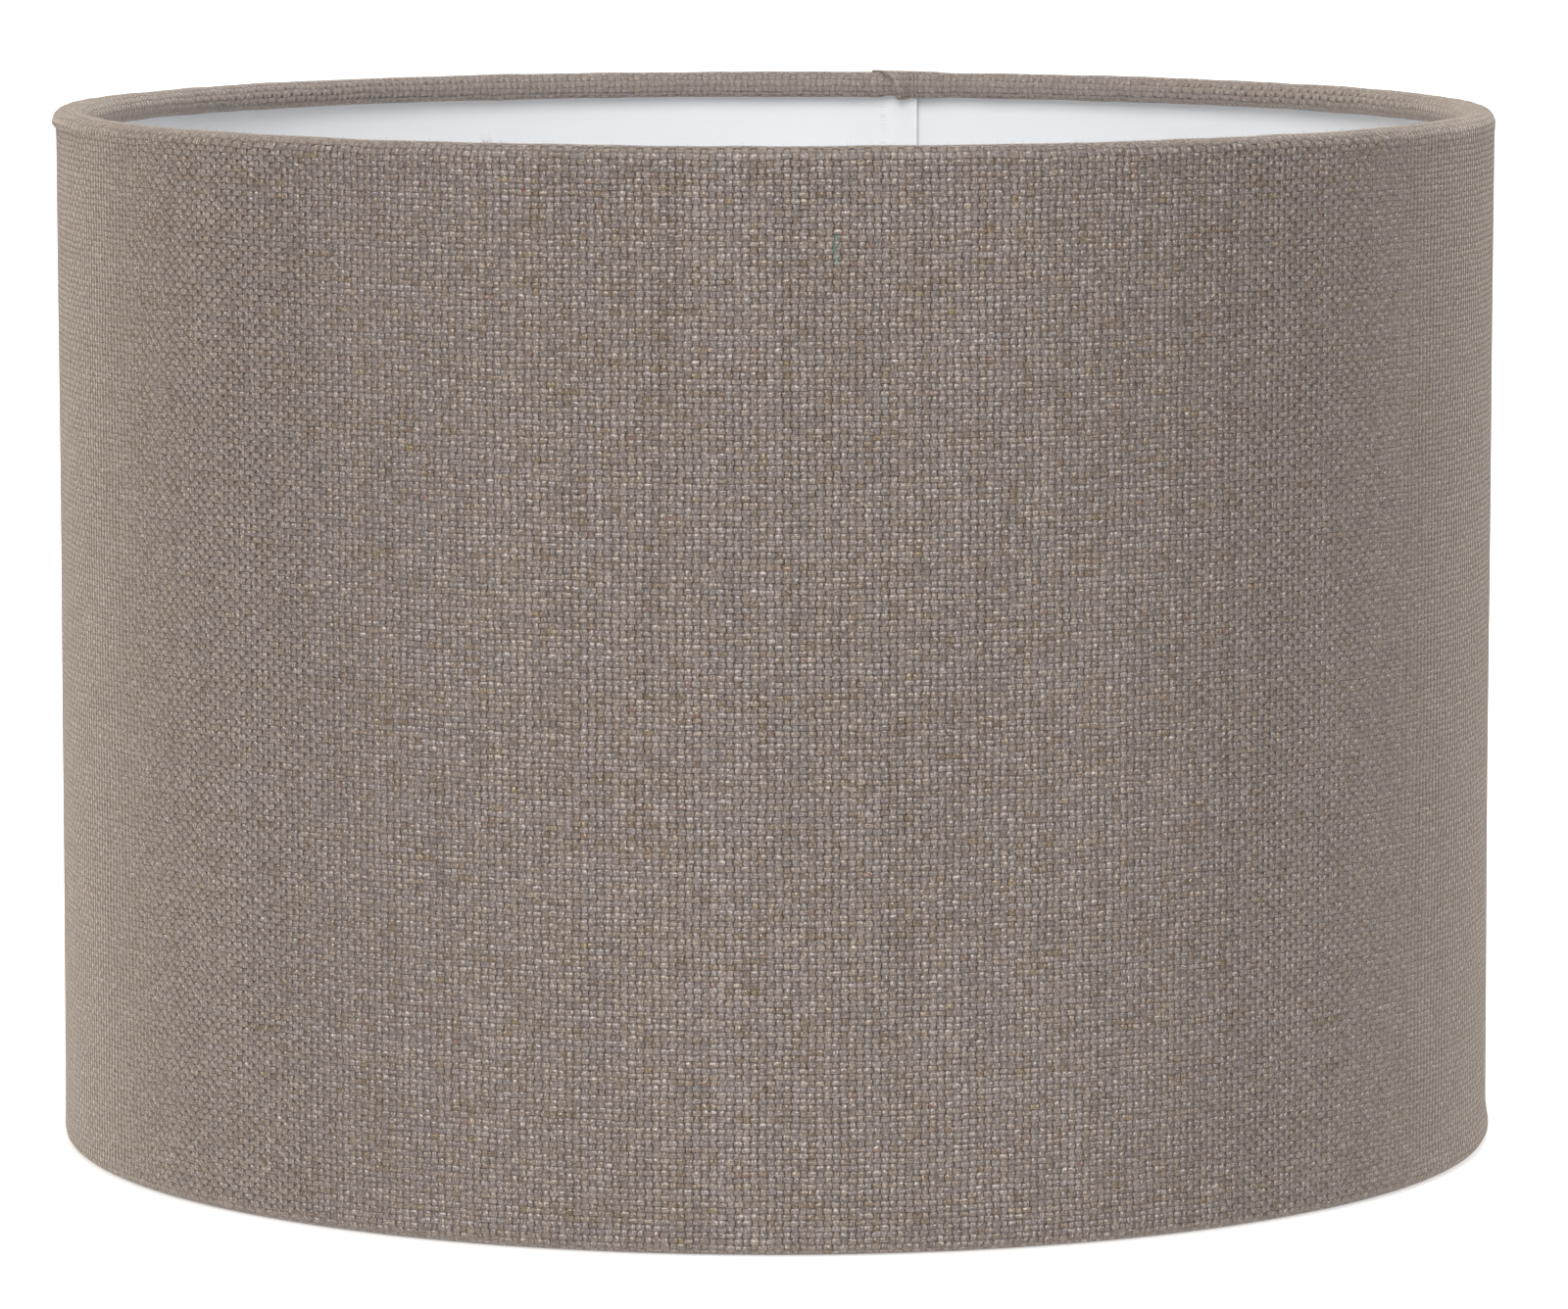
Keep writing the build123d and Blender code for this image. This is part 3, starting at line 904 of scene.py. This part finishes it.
liner = closed_sheet("styrene_liner", liner_grid(LINER / 2), liner_grid(-LINER / 2))
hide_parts("liner_sheet")
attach(liner, "shade")
print("liner:", len(liner.data.polygons), "faces")


# %% [markdown]
# Styrene sheet is smooth, milky and a little uneven. The same mottle serves the painted and the
# moulded parts further down, so it is one group with named inputs.

# %% The liner's look
def build_mottle():
    """Slow unevenness and fine grain, for sheets and moulded or painted parts."""
    tree, given, out = group_of(
        "surface_mottle",
        [("Place", "NodeSocketVector", None), ("Cloud Size", FLOAT, 20.0),
         ("Grain Size", FLOAT, 900.0)],
        [("Cloud", FLOAT), ("Grain", FLOAT), ("Speck", FLOAT)],
    )
    cloud = tree.nodes.new("ShaderNodeTexNoise")
    grain = tree.nodes.new("ShaderNodeTexNoise")
    for node, size in ((cloud, "Cloud Size"), (grain, "Grain Size")):
        tree.links.new(given["Place"], node.inputs["Vector"])
        tree.links.new(given[size], node.inputs["Scale"])
    tree.links.new(ramp_value(tree, cloud.outputs[0], 0.3, 0.7), out["Cloud"])
    tree.links.new(grain.outputs[0], out["Grain"])
    tree.links.new(ramp_value(tree, grain.outputs[0], 0.66, 0.74), out["Speck"])
    return tree


surface_mottle = build_mottle()


def mottled_material(name, colour, second, roughness, grain_size, grain_depth, metallic=0.0):
    """A painted, moulded or metal surface: two near colours, uneven gloss and a fine grain."""
    material, tree, shader = new_material(name)
    place = tree.nodes.new("ShaderNodeTexCoord")
    mottle = use_group(tree, surface_mottle, Place=place.outputs["Object"], Grain_Size=grain_size)
    base = tint(tree, mottle["Cloud"], colour, second)
    base = tint(tree, maths(tree, "MULTIPLY", mottle["Speck"], 0.25), base, (0.3, 0.27, 0.24, 1))
    tree.links.new(base, shader.inputs["Base Color"])
    gloss = maths(tree, "MULTIPLY_ADD", mottle["Cloud"], 0.08, roughness)
    tree.links.new(gloss, shader.inputs["Roughness"])
    tree.links.new(bump(tree, mottle["Grain"], grain_depth), shader.inputs["Normal"])
    shader.inputs["Metallic"].default_value = metallic
    return material


def build_liner_look():
    """Milky styrene with a faint dotted line of glue beside the lap."""
    material, tree, shader = new_material("liner_plastic")
    place = tree.nodes.new("ShaderNodeTexCoord")
    mottle = use_group(tree, surface_mottle, Place=place.outputs["Object"], Grain_Size=1500.0)
    split = tree.nodes.new("ShaderNodeSeparateXYZ")
    tree.links.new(place.outputs["Object"], split.inputs[0])
    angle = maths(tree, "ARCTAN2", split.outputs[1], split.outputs[0])
    glue_angle = SEAM_ANGLE + half_lap
    beside = maths(tree, "MULTIPLY", maths(tree, "SUBTRACT", angle, glue_angle), liner_face / MM)
    line = ramp_value(tree, maths(tree, "ABSOLUTE", beside), 0.1, 0.95, 1.0, 0.0)
    dots = noise(tree, vector_of(tree, 0.0, 0.0, split.outputs[2]), 760.0, 2.0)
    glue = maths(tree, "MULTIPLY", line, ramp_value(tree, dots, 0.46, 0.62))
    base = tint(tree, mottle["Cloud"], (0.845, 0.864, 0.894, 1), (0.815, 0.836, 0.868, 1))
    base = tint(tree, maths(tree, "MULTIPLY", glue, 0.30), base, (0.52, 0.50, 0.48, 1))
    tree.links.new(base, shader.inputs["Base Color"])
    gloss = maths(tree, "MULTIPLY_ADD", mottle["Cloud"], 0.06, 0.40)
    tree.links.new(gloss, shader.inputs["Roughness"])
    height = maths(tree, "MULTIPLY_ADD", glue, 2.0, mottle["Grain"])
    tree.links.new(bump(tree, height, 0.02 * MM), shader.inputs["Normal"])
    return material


liner.data.materials.append(build_liner_look())
print("liner look: milky sheet, glue line beside the lap")

# %% [markdown]
# ## Steel, tape, paint and moulded plastic
# The hidden and half-hidden parts keep the frame's own shapes. Each has a surface of its
# own: drawn steel wire, paper-backed tape, powder coat with its fine orange peel, and a
# moulded white ring.

# %% Give the frame's own pieces their looks
looks = {
    "ring_steel": mottled_material(
        "ring_steel", (0.52, 0.51, 0.50, 1), (0.42, 0.41, 0.40, 1), 0.34, 2600.0, 0.010 * MM, 1.0),
    "ring_tape": mottled_material(
        "ring_tape", (0.74, 0.71, 0.66, 1), (0.68, 0.64, 0.58, 1), 0.62, 1800.0, 0.03 * MM),
    "seam_tape": mottled_material(
        "seam_tape", (0.80, 0.78, 0.72, 1), (0.74, 0.72, 0.66, 1), 0.45, 1800.0, 0.02 * MM),
    "spider_paint": mottled_material(
        "spider_paint", (0.80, 0.80, 0.79, 1), (0.76, 0.76, 0.75, 1), 0.36, 1600.0, 0.025 * MM),
    "fitter_paint": mottled_material(
        "fitter_paint", (0.80, 0.80, 0.79, 1), (0.75, 0.75, 0.74, 1), 0.36, 1600.0, 0.025 * MM),
    "weld_paint": mottled_material(
        "weld_paint", (0.77, 0.77, 0.75, 1), (0.70, 0.69, 0.67, 1), 0.42, 1100.0, 0.05 * MM),
    "reducer_plastic": mottled_material(
        "reducer_plastic", (0.83, 0.83, 0.81, 1), (0.79, 0.79, 0.77, 1), 0.30, 2200.0, 0.012 * MM),
}
node_slots = {
    "liner_seam_tape": "seam_tape",
    "top_ring_wire": "ring_steel", "bottom_ring_wire": "ring_steel",
    "top_ring_tape": "ring_tape", "bottom_ring_tape": "ring_tape",
    "fitter_ring": "fitter_paint", "reducer_ring": "reducer_plastic",
    "spider_arm_1": "spider_paint", "spider_arm_2": "spider_paint", "spider_arm_3": "spider_paint",
    "arm_ring_welds": "weld_paint", "arm_fitter_welds": "weld_paint",
}
for node, look in node_slots.items():
    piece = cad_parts[node]
    piece.data.materials.clear()
    piece.data.materials.append(looks[look])
print("looks given to", len(node_slots), "frame pieces")

# %% [markdown]
# ## Fuzz
# Linen sheds. Short loose fibres stand up along the rolled rim, where the cloth was rubbed as
# it was turned in. Each is a thin tapering tube on a bent path, and all of them are one mesh.

# %% Loose fibres
def fibre_tubes(roots, headings, sides, lengths, widths, bends, steps=5):
    """Points and faces of thin three-sided tubes; all arguments are arrays with a row a fibre."""
    points, faces = [], []
    ring = np.array([0, 2 * math.pi / 3, 4 * math.pi / 3])
    for i in range(len(roots)):
        forward, side = headings[i], sides[i]
        other = np.cross(forward, side)
        start = len(points)
        for s in range(steps + 1):
            t = s / steps
            sway = side * math.sin(bends[i, 0] * t) + other * math.sin(bends[i, 1] * t)
            spot = roots[i] + lengths[i] * (forward * t + 0.55 * sway * t)
            thick = widths[i] * (1 - 0.75 * t)
            for a in ring:
                points.append(spot + thick * (side * math.cos(a) + other * math.sin(a)))
        for s in range(steps):
            for k in range(3):
                a, b = start + 3 * s + k, start + 3 * s + (k + 1) % 3
                faces.append((a, b, b + 3, a + 3))
        last = start + 3 * steps
        faces.append((start + 2, start + 1, start))
        faces.append((last, last + 1, last + 2))
    return points, faces


def rim_spot(angle, height_z, normal, radius):
    """A point on a roll, its outward direction and the direction round the drum."""
    level = np.cos(normal)
    outward = np.stack([level * np.cos(angle), level * np.sin(angle), np.sin(normal)], -1)
    centre = np.stack([RING_RADIUS * np.cos(angle), RING_RADIUS * np.sin(angle),
                       np.full_like(angle, height_z)], -1)
    around = np.stack([-np.sin(angle), np.cos(angle), np.zeros_like(angle)], -1)
    return centre + radius * outward, outward, around


def rim_fibres(name, count, seed, height_z, normals, longest, span):
    """Fibres scattered over a roll."""
    dice = np.random.default_rng(seed)
    angle = dice.uniform(*span, count)
    normal = np.radians(dice.uniform(*normals, count))
    root, outward, around = rim_spot(angle, height_z, normal, ROLL_RADIUS + 0.05 * MM)
    heading = outward + around * dice.normal(0, 0.8, (count, 1)) + dice.normal(0, 0.2, (count, 3))
    heading /= np.linalg.norm(heading, axis=1, keepdims=True)
    side = np.cross(heading, dice.normal(0, 1, (count, 3)))
    side /= np.linalg.norm(side, axis=1, keepdims=True)
    length = MM * longest * dice.power(1.6, count)[:, None] * 0.8 + 0.15 * MM
    width = MM * dice.uniform(0.010, 0.022, count)
    bend = dice.uniform(-2.6, 2.6, (count, 2))
    points, faces = fibre_tubes(root, heading, side, length[:, 0], width, bend)
    return link_mesh(name, points, faces)


def stray_fibre(name, angle, top, bottom, thick):
    """One fibre spun in by chance: it runs down the wall, in and out of the weave."""
    steps = 48
    t = np.linspace(0, 1, steps)
    down = top + (bottom - top) * t
    radius = DRUM_RADIUS + MM * (0.02 + 0.14 * np.cos(t * (top - bottom) / WEFT_PITCH * math.pi))
    turned = angle + 0.0012 * np.sin(t * 9) + 0.0006 * np.sin(t * 23)
    spine = np.stack([radius * np.cos(turned), radius * np.sin(turned), down], -1)
    out = np.array([math.cos(angle), math.sin(angle), 0])
    side = np.array([-math.sin(angle), math.cos(angle), 0])
    corners = [(0, 1), (1, 0), (0, -1), (-1, 0)]
    points = [tuple(spot + thick * (a * out + b * side)) for spot in spine for a, b in corners]
    faces = [(4 * i + k, 4 * i + (k + 1) % 4, 4 * i + 4 + (k + 1) % 4, 4 * i + 4 + k)
             for i in range(steps - 1) for k in range(4)]
    faces += [(3, 2, 1, 0), tuple(4 * (steps - 1) + k for k in range(4))]
    return link_mesh(name, points, faces)


def build_fibre_look(name, colour, second):
    """A loose fibre: two near colours that change along it."""
    material, tree, shader = new_material(name)
    place = tree.nodes.new("ShaderNodeTexCoord")
    mottle = use_group(tree, surface_mottle, Place=place.outputs["Object"], Cloud_Size=400.0)
    base = tint(tree, mottle["Cloud"], colour, second)
    tree.links.new(base, shader.inputs["Base Color"])
    shader.inputs["Roughness"].default_value = 0.6
    return material


linen_fibre = build_fibre_look("linen_fibre", (0.42, 0.36, 0.31, 1), (0.26, 0.20, 0.15, 1))
green_fibre = build_fibre_look("green_fibre", (0.06, 0.36, 0.25, 1), (0.16, 0.46, 0.35, 1))
red_fibre = build_fibre_look("red_fibre", (0.32, 0.05, 0.06, 1), (0.40, 0.12, 0.12, 1))
TUFT_ANGLE = math.radians(247.6)
GREEN_ANGLE = math.radians(274.4)
RED_ANGLE = math.radians(251.1)
RIM = cover_high.z
whole_turn = (0, 2 * math.pi)
tuft_span = (TUFT_ANGLE - 0.006, TUFT_ANGLE + 0.006)
fuzz = rim_fibres("linen_fuzz_top", 1700, 61, TOP_Z, (15, 200), 1.2, whole_turn)
fuzz_below = rim_fibres("linen_fuzz_bottom", 260, 62, BOTTOM_Z, (-20, 30), 0.7, whole_turn)
tuft = rim_fibres("linen_tuft", 26, 63, TOP_Z, (70, 110), 2.0, tuft_span)
green = stray_fibre("green_stray_fibre", GREEN_ANGLE, RIM - 14 * MM, RIM - 18.7 * MM, 0.09 * MM)
red = stray_fibre("red_stray_fibre", RED_ANGLE, RIM - 6.7 * MM, RIM - 7.6 * MM, 0.12 * MM)
loose = (fuzz, fuzz_below, tuft, green, red)
for piece in loose:
    piece.data.materials.append({green: green_fibre, red: red_fibre}.get(piece, linen_fibre))
    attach(piece, "shade")
print("fibres:", sum(len(piece.data.polygons) for piece in loose), "faces")


# %% [markdown]
# The floor is white paper on a light table. It lights the shade from below. Further off the
# camera sees it burnt out, and close to the shade it keeps a trace of shadow.

# %% The floor's look
def build_floor_look():
    """White paper on a light table: it glows under the shade and is burnt out further off."""
    material, tree, shader = new_material("studio_white")
    place = tree.nodes.new("ShaderNodeTexCoord")
    mottle = use_group(tree, surface_mottle, Place=place.outputs["Object"])
    base = tint(tree, mottle["Cloud"], (0.78, 0.78, 0.77, 1), (0.75, 0.75, 0.74, 1))
    tree.links.new(base, shader.inputs["Base Color"])
    shader.inputs["Roughness"].default_value = 0.9
    shader.inputs["Specular IOR Level"].default_value = 0.1
    shader.inputs["Emission Color"].default_value = (1, 1, 1, 1)
    seen = tree.nodes.new("ShaderNodeLightPath").outputs["Is Camera Ray"]
    distance = tree.nodes.new("ShaderNodeVectorMath")
    distance.operation = "LENGTH"
    tree.links.new(place.outputs["Object"], distance.inputs[0])
    far = ramp_value(tree, distance.outputs["Value"], 1.2 * DRUM_RADIUS, 3 * DRUM_RADIUS)
    table = maths(tree, "MULTIPLY_ADD", far, -0.45, 0.45)
    burnt_out = maths(tree, "MULTIPLY_ADD", far, 0.90, 0.10)
    glow = maths(tree, "MULTIPLY_ADD", seen, burnt_out, table)
    tree.links.new(glow, shader.inputs["Emission Strength"])
    return material


floor.data.materials.append(build_floor_look())

# %% [markdown]
# ## The look's size
# The corners of everything that renders, floor left out, are printed in millimetres.

# %% Finish
look_low, look_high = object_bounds()
for corner, spot in (("low", look_low), ("high", look_high)):
    print(corner, "corner of the look:", [round(1000 * v, 2) for v in spot], "mm")
